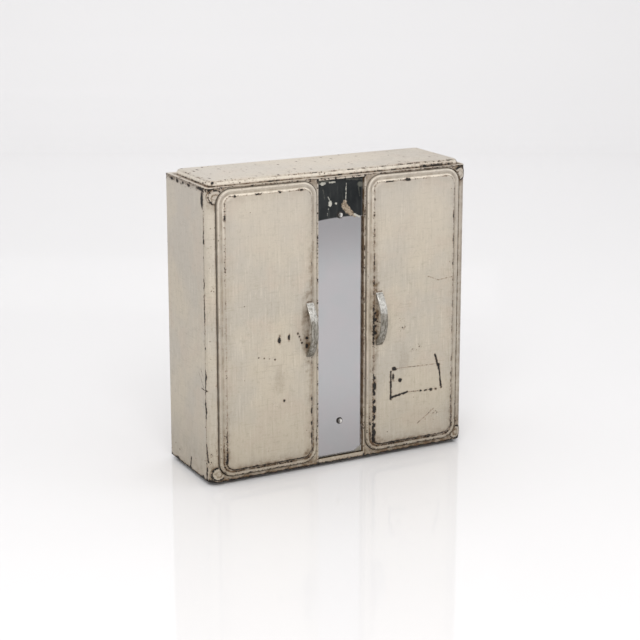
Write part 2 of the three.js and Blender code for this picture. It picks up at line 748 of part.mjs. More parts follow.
function addCase() {
  add(cabinet, 'top_panel', topPanel(), enamel);
  add(cabinet, 'bottom_panel', bottomPanel(), innerEnamel);
  add(cabinet, 'back_panel', backPanel(), innerEnamel);
  add(cabinet, 'front_frame', frontFrame(), enamel);
  for (const [name, side] of Object.entries(SIDES)) {
    add(cabinet, `${name}_side_panel`, onSide(side, sidePanel()), enamel);
    add(cabinet, `${name}_hanger_plate`, hangerPlate(side), steel);
    const lower = onSide(side, cornerBoss(BOSS_END));
    const upper = onSide(side, cornerBoss(CASE_HEIGHT - BOSS_END));
    add(cabinet, `${name}_lower_corner_boss`, lower, enamel);
    add(cabinet, `${name}_upper_corner_boss`, upper, enamel);
  }
}

function addMirror() {
  add(cabinet, 'mirror_glass', drilledSheet(0.4, GLASS_FRONT_Y, CARD_FRONT_Y - GAP), silvered);
  add(cabinet, 'mirror_card', drilledSheet(0.8, CARD_FRONT_Y, BAY_PANEL_Y - GAP), card);
  add(cabinet, 'mirror_bay_panel', bayPanel(), innerEnamel);
  for (const z of MIRROR_SCREW_LEVELS) {
    const level = z === MIRROR_SCREW_LOW_Z ? 'lower' : 'upper';
    add(cabinet, `${level}_mirror_screw`, mirrorScrew(z), nickel);
    add(cabinet, `${level}_mirror_washer`, mirrorWasher(z), rubber);
    add(cabinet, `${level}_mirror_nut`, mirrorNut(z), steel);
  }
}

function addDoor(name, side) {
  const door = new THREE.Group();
  const put = (part, geometry, material) => {
    add(door, `${name}_${part}`, onSide(side, geometry), material);
  };
  const seat = HANDLE_SEATS[name];
  put('door_skin', doorSkin(seat), enamel);
  put('door_liner', doorLiner(seat), innerEnamel);
  put('door_handle', handle(seat), nickel);
  put('door_strike', doorStrike(), steel);
  handleScrewLevels(seat).forEach((z, i) => {
    put(`handle_screw_${i === 0 ? 'lower' : 'upper'}`, handleScrew(seat.x, z), steel);
  });
  for (const [level, z] of Object.entries({ lower: 50, upper: 490 })) {
    put(`door_bumper_${level}`, doorBumper(z), rubber);
  }
  for (const [level, z] of Object.entries(HINGE_LEVELS)) {
    put(`hinge_arm_${level}`, hingeArm(z), steel);
  }
  cabinet.add(door);
}

function addDoorSeats(name, side) {
  for (const [level, z] of Object.entries(HINGE_LEVELS)) {
    add(cabinet, `${name}_hinge_bracket_${level}`, onSide(side, hingeBracket(z)), steel);
    add(cabinet, `${name}_hinge_pin_${level}`, onSide(side, hingePin(z)), steel);
  }
  add(cabinet, `${name}_door_catch`, onSide(side, doorCatch()), steel);
}

function addShelves() {
  for (const [level, z] of Object.entries(SHELF_LEVELS)) {
    add(cabinet, `${level}_shelf`, shelf(z), innerEnamel);
    for (const [name, side] of Object.entries(SIDES)) {
      add(cabinet, `${name}_shelf_bracket_${level}`, onSide(side, shelfBracket(z)), steel);
    }
  }
}

addCase();
addMirror();
for (const [name, side] of Object.entries(SIDES)) {
  addDoor(name, side);
  addDoorSeats(name, side);
}
addShelves();

const group = new THREE.Group();
cabinet.position.y = OVERALL_DEPTH / 2;
group.add(cabinet);

export default group;
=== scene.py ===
"""Looks for the enamelled steel wall cabinet: materials, light, floor and camera."""
import math

import bpy
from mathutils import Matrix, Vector


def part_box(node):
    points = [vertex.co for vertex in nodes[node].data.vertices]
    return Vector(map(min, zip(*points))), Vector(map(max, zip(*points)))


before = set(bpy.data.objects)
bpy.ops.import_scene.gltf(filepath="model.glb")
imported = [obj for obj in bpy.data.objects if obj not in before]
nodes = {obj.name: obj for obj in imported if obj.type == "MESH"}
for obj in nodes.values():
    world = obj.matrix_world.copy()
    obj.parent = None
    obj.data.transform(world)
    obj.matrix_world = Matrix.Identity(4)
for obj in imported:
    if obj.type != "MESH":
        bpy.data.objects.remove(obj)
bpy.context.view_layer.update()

# Lengths are in millimetres. The wall plane is the back of the case, and depths count from it.
MM = 1000
TOP_RISE = 10
WALL_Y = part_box("back_panel")[1].y * MM
CASE_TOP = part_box("top_panel")[1].z * MM - TOP_RISE
HALF_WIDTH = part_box("top_panel")[1].x * MM
FRONT = -181.0
SEAM = -166.0          # where the side's flat sheet turns into its rolled front edge
DOOR_CORNER = 27.0
FIELD_EDGE = 12.6      # from a door's outline to the edge of its pressed field
LABEL_WIDTH, LABEL_HEIGHT = 104.0, 52.0
GLASS_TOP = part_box("mirror_glass")[1].z * MM
SILVER_TOP = GLASS_TOP - 71.0


# ---------------------------------------------------------------- node tree helper
class Tree:
    """One node-based material; every coordinate in it is in millimetres in the part's frame."""

    def __init__(self, name):
        self.mat = bpy.data.materials.new(name)
        self.mat.use_nodes = True
        self.nt = self.mat.node_tree
        self.nt.nodes.clear()
        self.shader = self.nt.nodes.new("ShaderNodeBsdfPrincipled")
        out = self.nt.nodes.new("ShaderNodeOutputMaterial")
        self.nt.links.new(self.shader.outputs[0], out.inputs[0])
        co = self.nt.nodes.new("ShaderNodeTexCoord")
        scaled = self.vec("SCALE", co.outputs["Object"], scale=MM)
        self.pos = self.vec("SUBTRACT", scaled, (0, WALL_Y, 0))
        split = self.nt.nodes.new("ShaderNodeSeparateXYZ")
        self.nt.links.new(self.pos, split.inputs[0])
        self.x, self.y, self.z = split.outputs

    def put(self, socket, value):
        if isinstance(value, bpy.types.NodeSocket):
            self.nt.links.new(value, socket)
        elif isinstance(value, (tuple, list)) and len(value) == 3 and socket.type == "RGBA":
            socket.default_value = (*value, 1)
        else:
            socket.default_value = value

    def math(self, op, a, b=0.0, c=0.0, clamp=False):
        n = self.nt.nodes.new("ShaderNodeMath")
        n.operation = op
        n.use_clamp = clamp
        for socket, value in zip(n.inputs, (a, b, c)):
            self.put(socket, value)
        return n.outputs[0]

    def add(self, a, b):
        return self.math("ADD", a, b)

    def sub(self, a, b):
        return self.math("SUBTRACT", a, b)

    def mul(self, a, b):
        return self.math("MULTIPLY", a, b)

    def least(self, *values):
        result = values[0]
        for v in values[1:]:
            result = self.math("MINIMUM", result, v)
        return result

    def most(self, *values):
        result = values[0]
        for v in values[1:]:
            result = self.math("MAXIMUM", result, v)
        return result

    def vec(self, op, a, b=(0, 0, 0), scale=None):
        n = self.nt.nodes.new("ShaderNodeVectorMath")
        n.operation = op
        self.put(n.inputs[0], a)
        self.put(n.inputs[1], b)
        if scale is not None:
            self.put(n.inputs["Scale"], scale)
        return n.outputs["Value"] if op in ("LENGTH", "DOT_PRODUCT") else n.outputs[0]

    def xyz(self, x=0.0, y=0.0, z=0.0):
        n = self.nt.nodes.new("ShaderNodeCombineXYZ")
        for socket, value in zip(n.inputs, (x, y, z)):
            self.put(socket, value)
        return n.outputs[0]

    def ramp(self, value, low, high, out_low=0.0, out_high=1.0):
        n = self.nt.nodes.new("ShaderNodeMapRange")
        n.interpolation_type = "SMOOTHSTEP"
        pairs = ((0, value), (1, low), (2, high), (3, out_low), (4, out_high))
        for i, v in pairs:
            self.put(n.inputs[i], v)
        return n.outputs[0]

    def band(self, value, centre, half, soft):
        """1 within half of centre, falling to 0 over soft."""
        away = self.math("ABSOLUTE", self.sub(value, centre))
        return self.ramp(away, half, half + soft, 1.0, 0.0)

    def noise(self, size, detail=4.0, rough=0.55, stretch=(1, 1, 1), shift=0.0, distort=0.0):
        """Noise with features about size millimetres across, stretched per axis."""
        scaled = self.vec("MULTIPLY", self.pos, tuple(1.0 / (size * s) for s in stretch))
        moved = self.vec("ADD", scaled, (shift, shift * 1.7, shift * 0.6))
        n = self.nt.nodes.new("ShaderNodeTexNoise")
        self.put(n.inputs["Vector"], moved)
        n.inputs["Scale"].default_value = 1.0
        n.inputs["Detail"].default_value = detail
        n.inputs["Roughness"].default_value = rough
        n.inputs["Distortion"].default_value = distort
        return n.outputs["Fac"]

    def cells(self, size, shift=0.0, stretch=(1, 1, 1)):
        """Distance to scattered points, about size millimetres apart."""
        scaled = self.vec("MULTIPLY", self.pos, tuple(1.0 / (size * s) for s in stretch))
        moved = self.vec("ADD", scaled, (shift, shift * 0.4, shift * 2.1))
        n = self.nt.nodes.new("ShaderNodeTexVoronoi")
        self.put(n.inputs["Vector"], moved)
        n.inputs["Scale"].default_value = 1.0
        return n.outputs["Distance"]

    def mix(self, factor, a, b):
        n = self.nt.nodes.new("ShaderNodeMix")
        n.data_type = "RGBA"
        self.put(n.inputs["Factor"], factor)
        self.put(n.inputs[6], a)
        self.put(n.inputs[7], b)
        return n.outputs[2]

    def rounded(self, u, v, half_u, half_v, radius):
        """Distance outside a rounded rectangle centred on the origin of (u, v)."""
        qu = self.sub(self.math("ABSOLUTE", u), half_u - radius)
        qv = self.sub(self.math("ABSOLUTE", v), half_v - radius)
        corner = self.vec("LENGTH", self.xyz(self.math("MAXIMUM", qu, 0.0),
                                             self.math("MAXIMUM", qv, 0.0)))
        inside = self.math("MINIMUM", self.math("MAXIMUM", qu, qv), 0.0)
        return self.sub(self.add(corner, inside), radius)

    def spot(self, plane, centre, radii):
        """Distance outside an ellipse, roughly in millimetres."""
        size = min(radii)
        away = self.vec("SUBTRACT", plane, (centre[0], centre[1], 0))
        scaled = self.vec("MULTIPLY", away, (size / radii[0], size / radii[1], 1))
        return self.sub(self.vec("LENGTH", scaled), size)

    def line(self, plane, start, end, half):
        """Distance outside a stroke from start to end."""
        run = (end[0] - start[0], end[1] - start[1], 0)
        square = run[0] ** 2 + run[1] ** 2
        away = self.vec("SUBTRACT", plane, (start[0], start[1], 0))
        share = self.math("DIVIDE", self.vec("DOT_PRODUCT", away, run), square, clamp=True)
        foot = self.vec("SCALE", run, scale=share)
        return self.sub(self.vec("LENGTH", self.vec("SUBTRACT", away, foot)), half)

    def marks(self, plane, rows):
        """Distance to the nearest mark; four numbers make a spot and five a stroke."""
        nearest = 1000.0
        for row in rows:
            if len(row) == 4:
                away = self.spot(plane, row[:2], row[2:])
            else:
                away = self.line(plane, row[:2], row[2:4], row[4])
            nearest = self.math("MINIMUM", nearest, away)
        return nearest

    def bump(self, height, strength=1.0):
        n = self.nt.nodes.new("ShaderNodeBump")
        n.inputs["Strength"].default_value = strength
        n.inputs["Distance"].default_value = 1 / MM
        self.put(n.inputs["Height"], height)
        self.nt.links.new(n.outputs[0], self.shader.inputs["Normal"])

    def finish(self, color, roughness, metallic=0.0, specular=0.5):
        self.put(self.shader.inputs["Base Color"], color)
        self.put(self.shader.inputs["Roughness"], roughness)
        self.put(self.shader.inputs["Metallic"], metallic)
        self.shader.inputs["Specular IOR Level"].default_value = specular
        return self.mat


# ---------------------------------------------------------------- enamel
CREAM = (0.505, 0.446, 0.356)
CREAM_GREY = (0.442, 0.402, 0.342)
CREAM_PINK = (0.48, 0.405, 0.328)
CREAM_PALE = (0.60, 0.545, 0.46)
CREAM_DARK = (0.33, 0.29, 0.225)
# Dark brown for dirt, also laid as painted shade in gaps, hollows and under the foot.
GRIME_AND_SHADE = (0.118, 0.074, 0.036)
RUST = (0.13, 0.058, 0.022)
BARE = (0.010, 0.008, 0.006)


def enamel(name, wear, grime_and_shade, strokes=None, painted_highlight=None):
    """Old cream enamel. wear(t) masks worn paint, the grime mask holds dirt together with painted shade,
    and the optional last mask paints highlight, all from 0 to 1; strokes(t) gives the distance to
    single marks, in millimetres."""
    chip_level = 0.695
    t = Tree(name)
    warp = t.noise(6.0, 6.0, 0.72, shift=3.1)
    clouds = t.ramp(t.noise(120.0, 3.0, 0.5, shift=1.3), 0.38, 0.62)
    patches = t.ramp(t.noise(58.0, 4.0, 0.55, shift=5.9), 0.50, 0.66)
    brushed = t.noise(3.2, 4.0, 0.65, stretch=(1, 1, 16), shift=7.7)
    crossed = t.noise(2.6, 4.0, 0.65, stretch=(12, 12, 1), shift=2.9)
    mottle = t.noise(9.0, 5.0, 0.65, shift=13.0)
    grain = t.noise(2.4, 4.0, 0.7, shift=2.2)
    color = t.mix(clouds, CREAM, CREAM_GREY)
    color = t.mix(t.mul(patches, 0.6), color, CREAM_PINK)
    color = t.mix(t.ramp(brushed, 0.52, 0.70, 0.0, 0.55), color, CREAM_PALE)
    color = t.mix(t.ramp(brushed, 0.47, 0.30, 0.0, 0.42), color, CREAM_DARK)
    color = t.mix(t.ramp(crossed, 0.54, 0.70, 0.0, 0.42), color, CREAM_DARK)
    color = t.mix(t.ramp(mottle, 0.52, 0.68, 0.0, 0.36), color, CREAM_DARK)
    color = t.mix(t.ramp(grain, 0.54, 0.68, 0.0, 0.45), color, CREAM_DARK)
    color = t.mix(t.ramp(grain, 0.44, 0.32, 0.0, 0.30), color, CREAM_PALE)
    color = t.mix(t.ramp(t.z, 260.0, 10.0, 0.0, 0.36), color, CREAM_DARK)
    color = t.mix(t.ramp(t.z, 300.0, 500.0, 0.0, 0.32), color, (0.50, 0.455, 0.405))
    worn = wear(t)
    # The grime mask holds dirt together with painted shade.
    soiled_and_shaded = grime_and_shade(t)
    # Painted highlight: pale cream laid on edges that face the lamps, broken by mottle.
    if painted_highlight:
        highlight_mask = t.mul(painted_highlight(t), t.ramp(mottle, 0.36, 0.52, 0.25, 1.0))
        color = t.mix(highlight_mask, color, (0.80, 0.735, 0.63))
    # Dirt and painted shade share one dark tone, broken up by noise.
    soil_break = t.ramp(t.noise(15.0, 6.0, 0.68, shift=9.4), 0.30, 0.68, 0.30, 1.25)
    soil_and_shade = t.math("MULTIPLY", soiled_and_shaded, soil_break, clamp=True)
    color = t.mix(soil_and_shade, color, GRIME_AND_SHADE)

    # Chips break through along worn edges. Single dots sit anywhere, more of them near wear.
    # Only the chips reach the bump: single marks are colour alone.
    coarse = t.noise(9.0, 7.0, 0.66, shift=4.4)
    small = t.noise(3.0, 5.0, 0.66, shift=8.2)
    through = t.add(t.add(t.mul(coarse, 0.5), t.mul(small, 0.5)), t.mul(worn, 0.185))
    chip = t.ramp(through, chip_level, chip_level + 0.014)
    pits = chip
    halo = t.ramp(through, chip_level - 0.05, chip_level)
    crowd = t.add(t.noise(42.0, 4.0, 0.6, shift=18.0), t.mul(worn, 0.30))
    reach = t.ramp(crowd, 0.56, 0.74, 0.0, 0.13)
    dots = t.sub(t.cells(9.0, shift=4.0), reach)
    chip = t.most(chip, t.ramp(dots, 0.0, -0.03))
    halo = t.most(halo, t.ramp(dots, 0.10, 0.0, 0.0, 0.5))
    if strokes:
        marks = t.add(strokes(t), t.mul(t.sub(warp, 0.5), 6.5))
        chip = t.most(chip, t.ramp(marks, 0.75, 0.15))
        halo = t.most(halo, t.ramp(marks, 2.2, 0.6, 0.0, 0.8))
    rust_break = t.ramp(t.noise(7.0, 4.0, 0.6, shift=6.1), 0.35, 0.65, 0.25, 0.85)
    color = t.mix(t.mul(halo, rust_break), color, RUST)
    color = t.mix(chip, color, BARE)

    ripple = t.noise(28.0, 3.0, 0.5, shift=12.0)
    height = t.add(t.mul(ripple, 0.5), t.mul(grain, 0.10))
    height = t.add(height, t.add(t.mul(brushed, 0.06), t.mul(crossed, 0.05)))
    height = t.sub(height, t.mul(pits, 0.30))
    t.bump(height, 0.6)
    rough = t.add(t.mul(grain, 0.16), t.add(t.mul(chip, 0.3), t.mul(soil_and_shade, 0.20)))
    return t.finish(color, t.add(rough, 0.32), specular=0.45)


def total(t, *masks):
    result = masks[0]
    for m in masks[1:]:
        result = t.add(result, m)
    return result


def front_plane(t):
    return t.xyz(t.x, t.z)


def side_plane(t):
    return t.xyz(t.y, t.z)


def stains(t, plane, *rows):
    """Soft-edged patches: each row is a centre, two radii and a strength."""
    ragged = t.mul(t.sub(t.noise(14.0, 5.0, 0.65, shift=27.0), 0.5), 16.0)
    result = None
    for centre, radii, strength in rows:
        away = t.add(t.spot(plane, centre, radii), ragged)
        mask = t.ramp(away, 5.0, -4.0, 0.0, strength)
        result = mask if result is None else t.most(result, mask)
    return result


def chain(start, end, count, *sizes):
    """Evenly spaced spots from start to end, which take the given radii in turn."""
    rows = []
    for i in range(count):
        share = i / (count - 1)
        place = [a + (b - a) * share for a, b in zip(start, end)]
        rows.append((*place, *sizes[i % len(sizes)]))
    return rows


# ---------------------------------------------------------------- doors
class Door:
    """Where one door's outline and pull are, and the masks that follow them."""

    def __init__(self, side):
        low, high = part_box(side + "_door_skin")
        pull_low, pull_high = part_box(side + "_door_handle")
        self.side = side
        self.x = (low.x + high.x) * 500
        self.z = (low.z + high.z) * 500
        self.half_x = (high.x - low.x) * 500
        self.half_z = (high.z - low.z) * 500
        self.pull_x = (pull_low.x + pull_high.x) * 500
        self.pull_z = (pull_low.z + pull_high.z) * 500
        self.pull_top = pull_high.z * MM
        self.turn = 1 if side == "left" else -1
        self.inner = self.x + self.turn * (self.half_x - FIELD_EDGE)
        self.outer = self.x - self.turn * (self.half_x - FIELD_EDGE)
        self.foot = self.z - self.half_z + FIELD_EDGE
        self.top = self.z + self.half_z - FIELD_EDGE

    def inset(self, t):
        """Distance in from the door's outline."""
        u = t.sub(t.x, self.x)
        v = t.sub(t.z, self.z)
        return t.mul(t.rounded(u, v, self.half_x, self.half_z, DOOR_CORNER), -1.0)

    def wear(self, t):
        inset = self.inset(t)
        low = t.ramp(t.z, 150.0, 15.0)
        edge = t.mul(t.band(inset, 12.4, 0.8, 1.6), t.add(t.mul(low, 0.35), 0.72))
        rim = t.mul(t.band(inset, 1.8, 0.6, 1.2), t.add(t.mul(low, 0.3), 0.42))
        cove = t.mul(t.band(inset, 8.0, 1.4, 2.0), t.add(t.mul(low, 0.5), 0.30))
        pull = t.spot(front_plane(t), (self.pull_x - 2, self.pull_z - 14), (11, 46))
        near = t.ramp(pull, 8.0, -6.0, 0.0, 0.6)
        if self.side == "right":
            rows = (
                ((self.x - 25, self.z - 25), (10, 15), 0.55),
                ((self.x + 5, self.z - 70), (20, 10), 0.55),
                ((self.x + 40, self.foot + 40), (20, 15), 0.4),
            )
            near = t.add(near, stains(t, front_plane(t), *rows))
        return total(t, edge, rim, cove, near, t.mul(low, 0.22))

    def flaking(self, t, inset):
        """Distance to the broken dark line along the edge of the pressed field."""
        run = t.noise(10.0, 4.0, 0.6, shift=3.0 if self.side == "left" else 8.0)
        dashes = t.ramp(run, 0.43, 0.59, 3.4, 0.0)
        low, high = (110.0, -0.9) if self.side == "left" else (300.0, 0.15)
        width = t.ramp(t.z, low, 40.0, high, 1.0)
        return t.sub(t.add(t.math("ABSOLUTE", t.sub(inset, FIELD_EDGE)), dashes), width)

    def grime_and_shade(self, t):
        p = front_plane(t)
        inset = self.inset(t)
        low = t.ramp(t.z, 120.0, 10.0)
        # Painted shade in the door gap: the rim's side wall darkens, most where it lies deep.
        wall = t.mul(t.ramp(inset, 1.0, 0.1, 0.0, 0.80), t.ramp(t.y, -180.0, -185.0, 0.25, 1.0))
        # Dirt and painted shade in the cove and at the root of the pressed field; a brown halo of dirt
        # around it.
        cove = t.mul(t.band(inset, 7.6, 0.6, 1.6), 0.40)
        root = t.mul(t.band(inset, FIELD_EDGE, 0.3, 0.9), 0.34)
        halo = t.ramp(inset, 32.0, 13.0, 0.0, 0.17)
        around = t.mul(total(t, cove, root, halo), t.add(t.mul(low, 0.9), 0.75))
        around = t.mul(around, t.ramp(inset, 0.5, 1.5))
        near = self.inner - self.turn * 2
        rows = (
            ((self.inner - self.turn * 8, self.foot + 5), (11, 9), 0.66),
            ((self.x + self.turn * 20, self.foot), (75, 3), 0.52),
            ((self.outer, self.foot + 42), (3, 45), 0.35),
            ((near, self.pull_z + 75), (3, 60), 0.45),
            ((near, self.pull_z - 80), (3, 60), 0.42),
            # Painted shadow of the pull on the door beside it.
            ((self.pull_x - 8, self.pull_z), (7, 48), 0.62),
            ((self.pull_x - 5, self.pull_z), (4, 46), 1.0),
            ((self.x + self.turn * 20, self.z - 95), (10, 24), 0.17),
        )
        return total(t, wall, around, stains(t, p, *rows), t.mul(low, 0.08))

    def painted_highlight(self, t):
        """Painted highlight on bevels and the bead that face up or to the left, where the lamps fall on
        them.
        """
        inset = self.inset(t)
        bevel = t.band(inset, 11.0, 0.9, 0.9)
        bead = t.mul(t.band(inset, 2.6, 0.7, 1.2), 0.45)
        top = t.ramp(t.z, self.z + self.half_z - 34, self.z + self.half_z - 8)
        left = t.ramp(t.x, self.x - self.half_x + 26, self.x - self.half_x + 6)
        left = t.mul(left, t.ramp(t.z, 380.0, 500.0, 0.15, 0.9))
        return t.mul(t.most(top, left), t.add(t.mul(bevel, 0.85), bead))

    def label(self):
        """What is left of a label's outline: heavy at the lower left, broken elsewhere."""
        left, low = self.x - 48, self.foot + 90
        right, high = left + LABEL_WIDTH, low + LABEL_HEIGHT
        dots = chain((left + 65, low + 1), (right - 6, low), 4, (1.8, 1.2), (2.5, 1.1), (3.4, 2.4))
        return dots + [
            (left + 7, high, 4.5, 3.5), (left + 20, high - 24, 3.5, 3.5), (left + 5, high - 16, 2, 4.5),
            (left, high - 5, left, low - 6, 1.3), (left, low - 3, left + 36, low + 3, 1.5),
            (left + 36, low + 3, left + 65, low + 1, -0.4), (left + 9, high, right, high - 3, -0.5),
            (right - 8, high + 15, right, high - 12, 1.5), (right, high - 4, right + 6, low + 2, 1.3),
        ]

    def left_marks(self):
        pull = (self.pull_x - 6, self.pull_z)
        return [
            (self.x + 19, self.z - 19, 2.1, 6.5), (self.x + 38, self.z - 18, 1.7, 4.5),
            (self.x + 28, self.z - 134, 1.5, 1.8), (self.outer, self.top - 36, 1.3, 3.4),
            (pull[0], pull[1] - 14, 2.4, 2.6), (pull[0], pull[1] - 29, 2.6, 3.6),
            *chain((pull[0] - 18, pull[1] - 3), (pull[0] - 10, pull[1] - 22), 4, (0.9, 1.4), (1.3, 1.3)),
            *chain((self.x - 22, self.z - 47), (self.x + 10, self.z - 54), 4, (0.6, 0.6)),
            *chain((self.inner, self.pull_z - 130), (self.inner, self.foot + 40), 4, (2, 3.2), (1.8, 6)),
            *chain((self.outer + 20, self.top), (self.inner - 20, self.top), 4, (1.8, 1.4), (2.6, 0.8)),
        ]

    def right_marks(self):
        hair = (self.x + 53, self.z + 53)
        bevel = self.inner + 2
        return self.label() + [
            (hair[0] - 23, hair[1] + 9, *hair, -0.75), (*hair, hair[0] + 31, hair[1] + 3, -0.65),
            (self.x + 11, self.foot + 28, self.x + 47, self.foot + 52, -0.7),
            (self.inner + 12, self.foot, self.inner + 44, self.foot - 2, 0.3),
            (self.inner + 24, self.top, self.inner + 37, self.top, 0.3),
            (self.inner + 69, self.top, 5, 2), (self.outer, self.top - 26, self.outer, self.top - 52, 0.0),
            *chain((bevel + 1, self.pull_z + 12), (bevel + 1, self.pull_z - 26), 4, (1.7, 2.4), (2.2, 3.2)),
            *chain((bevel, self.pull_z - 112), (bevel, self.foot + 8), 9, (2.2, 3), (2.9, 6.5), (1.8, 3.8)),
            *chain((self.outer, self.top - 76), (self.outer, self.top - 166), 3, (1.2, 5)),
        ]

    def marks(self, t):
        rows = self.left_marks() if self.side == "left" else self.right_marks()
        line_z = self.pull_top + 2
        rows.append((self.pull_x - 5, line_z, self.pull_x + 5, line_z, -0.2))
        return t.least(self.flaking(t, self.inset(t)), t.marks(front_plane(t), rows))


LEFT = Door("left")
RIGHT = Door("right")


# ---------------------------------------------------------------- case
def side_wear(t):
    low = t.ramp(t.z, 90.0, 5.0, 0.0, 0.35)
    top = t.ramp(t.z, 515.0, 534.0, 0.0, 0.95)
    seam = t.mul(t.band(t.y, SEAM, 1.2, 3.0), 0.62)
    roll = t.mul(t.ramp(t.y, -168.0, -178.0), 0.36)
    back = t.ramp(t.y, -9.0, -2.0, 0.0, 0.6)
    foot = t.ramp(t.z, 9.0, 1.0, 0.0, 0.9)
    return total(t, top, seam, roll, back, foot, low)


def side_grime_and_shade(t):
    low = t.ramp(t.z, 120.0, 0.0, 0.0, 0.20)
    # Painted shade: the foot goes nearly black, as in the shadow where it meets the floor.
    foot = t.ramp(t.z, 5.0, 1.5, 0.0, 1.4)
    top = t.ramp(t.z, 524.0, 536.0, 0.0, 0.45)
    # Painted shade in the gap between the rolled front edge and the doors.
    edge = t.ramp(t.math("ABSOLUTE", t.x), 251.0, 248.4, 0.0, 0.80)
    # Dirt and painted shade in the crevices at the ends of the rolled edge, by the corner bosses.
    ends = t.math("ABSOLUTE", t.sub(t.z, CASE_TOP / 2))
    corner = t.ramp(ends, CASE_TOP / 2 - 50, CASE_TOP / 2 - 20, 0.0, 0.55)
    front = t.mul(corner, t.ramp(t.y, -168.0, -178.0))
    seam = t.mul(t.band(t.y, SEAM, 0.4, 3.2), 0.30)
    # Painted shade on the right rolled edge, which faces away from the key light.
    shade = t.mul(t.ramp(t.x, 246.0, 258.0, 0.0, 0.46), t.ramp(t.y, -165.0, -174.0))
    return total(t, low, foot, top, edge, front, seam, shade)


def side_marks(t):
    p = side_plane(t)
    wander = t.mul(t.sub(t.noise(20.0, 5.0, 0.65, shift=15.0), 0.5), 13.0)
    seam = t.math("ABSOLUTE", t.sub(t.add(t.y, wander), SEAM))
    dashes = t.ramp(t.noise(15.0, 4.0, 0.6, stretch=(1, 1, 2.6), shift=17.0), 0.42, 0.56, 4.0, 0.0)
    lower = t.ramp(t.z, 330.0, 210.0, 0.0, 0.9)
    crack = t.sub(t.add(seam, dashes), t.add(lower, 0.9))
    edge, cross_y, cross_z = CASE_TOP - 6, FRONT + 30, 185.0
    rows = [
        (SEAM + 5, edge - 17, 4.5, 12), (SEAM + 11, edge + 2, 9, 2.6), (SEAM, edge - 90, 2.2, 4),
        (SEAM + 5, edge + 2, SEAM + 3, edge - 32, 0.6), (SEAM, 70, SEAM - 5, 38, 1.0),
        (cross_y + 14, cross_z + 12, cross_y - 6, cross_z - 11, -0.5),
        (cross_y + 5, cross_z + 20, cross_y - 7, cross_z + 4, -0.6),
        (cross_y + 3, cross_z - 15, SEAM - 6, cross_z - 15, 0.2),
        (FRONT + 84, 24, FRONT + 89, 2, 1.4),
        *chain((-30, edge), (-105, edge), 4, (4.5, 2), (5, 2.8), (3, 2.2)),
        *chain((-35, 4), (-150, 4), 3, (4.2, 2.8)),
    ]
    foot = t.sub(t.z, t.ramp(wander, -1.2, 1.2, 1.0, 3.0))
    left_only = t.ramp(t.x, -200.0, 0.0, 0.0, 60.0)
    return t.least(crack, foot, t.add(t.marks(p, rows), left_only))


def rim_distance(t):
    """Distance in from the nearest edge of the case, seen from above."""
    across = t.sub(HALF_WIDTH, t.math("ABSOLUTE", t.x))
    return t.least(across, t.sub(t.y, FRONT), t.mul(t.y, -1.0))


def top_wear(t):
    edge = rim_distance(t)
    nose = t.mul(t.band(t.z, CASE_TOP + 8.0, 0.8, 0.9), 0.62)
    rim = t.mul(t.ramp(edge, 2.6, 0.2), 0.80)
    right = t.ramp(t.x, 20.0, 240.0, 0.0, 0.24)
    return total(t, nose, rim, t.mul(t.ramp(edge, 15.0, 9.0), right), 0.02)


def top_grime_and_shade(t):
    edge = rim_distance(t)
    # Painted shade along the line where the raised top rises from the ledge.
    root = t.mul(t.band(t.z, CASE_TOP + 0.7, 0.5, 1.6), t.ramp(edge, 4.5, 7.5, 0.0, 0.75))
    root = t.mul(root, t.ramp(t.y, -14.0, -20.0, 0.15, 1.0))
    rim = t.mul(t.ramp(edge, 1.6, 0.0), 0.5)
    return total(t, root, rim, t.ramp(edge, 60.0, 14.0, 0.0, 0.05), t.ramp(t.x, 0.0, 220.0, 0.0, 0.15))


def top_painted_highlight(t):
    """Painted highlight along the face of the rolled edge."""
    return t.mul(t.band(t.z, CASE_TOP + 4.6, 1.6, 1.4), 0.5)


def top_marks(t):
    p = t.xyz(t.x, t.y)
    edge = rim_distance(t)
    run = t.noise(13.0, 4.0, 0.6, shift=19.0)
    more = t.ramp(t.x, -240.0, 240.0, 0.1, 0.6)
    nose = t.math("ABSOLUTE", t.sub(t.z, CASE_TOP + 8.8))
    nose = total(t, nose, t.ramp(run, 0.44, 0.58, 3.0, 0.0), t.ramp(edge, 13.0, 17.0, 0.0, 4.0))
    root = t.math("ABSOLUTE", t.sub(t.z, CASE_TOP + 1.0))
    root = total(t, root, t.ramp(run, 0.58, 0.44, 2.6, 0.0), t.ramp(edge, 7.0, 4.0, 0.0, 4.0))
    root = t.add(root, t.ramp(t.y, -20.0, -14.0, 0.0, 4.0))
    reach = t.ramp(t.noise(34.0, 3.0, 0.6, shift=21.0), 0.40, 0.60, 0.02, 0.12)
    reach = t.add(reach, t.ramp(t.x, 0.0, -230.0, 0.0, 0.04))
    flecks = t.mul(t.sub(t.cells(12.0, shift=9.0, stretch=(1, 2.8, 1)), reach), 12.0)
    right_end = HALF_WIDTH - 25
    rows = (
        (17 - HALF_WIDTH, FRONT + 13, 1.5, 1.2), (HALF_WIDTH - 12, FRONT + 15, 2.4, 2.4),
        (right_end - 70, FRONT + 10, right_end, FRONT + 10, -0.1),
        (right_end - 120, FRONT + 16, right_end - 35, FRONT + 15, -0.6),
    )
    near = t.add(t.ramp(edge, 46.0, 14.0, 0.0, 0.09), t.ramp(t.x, 0.0, -230.0, 0.0, 0.03))
    specks = t.mul(t.sub(t.cells(7.0, shift=13.0, stretch=(1, 2.0, 1)), near), 8.0)
    marks = t.least(t.add(flecks, 0.7), t.add(specks, 0.6), t.marks(p, rows))
    return t.least(t.sub(nose, more), t.sub(root, more), marks)


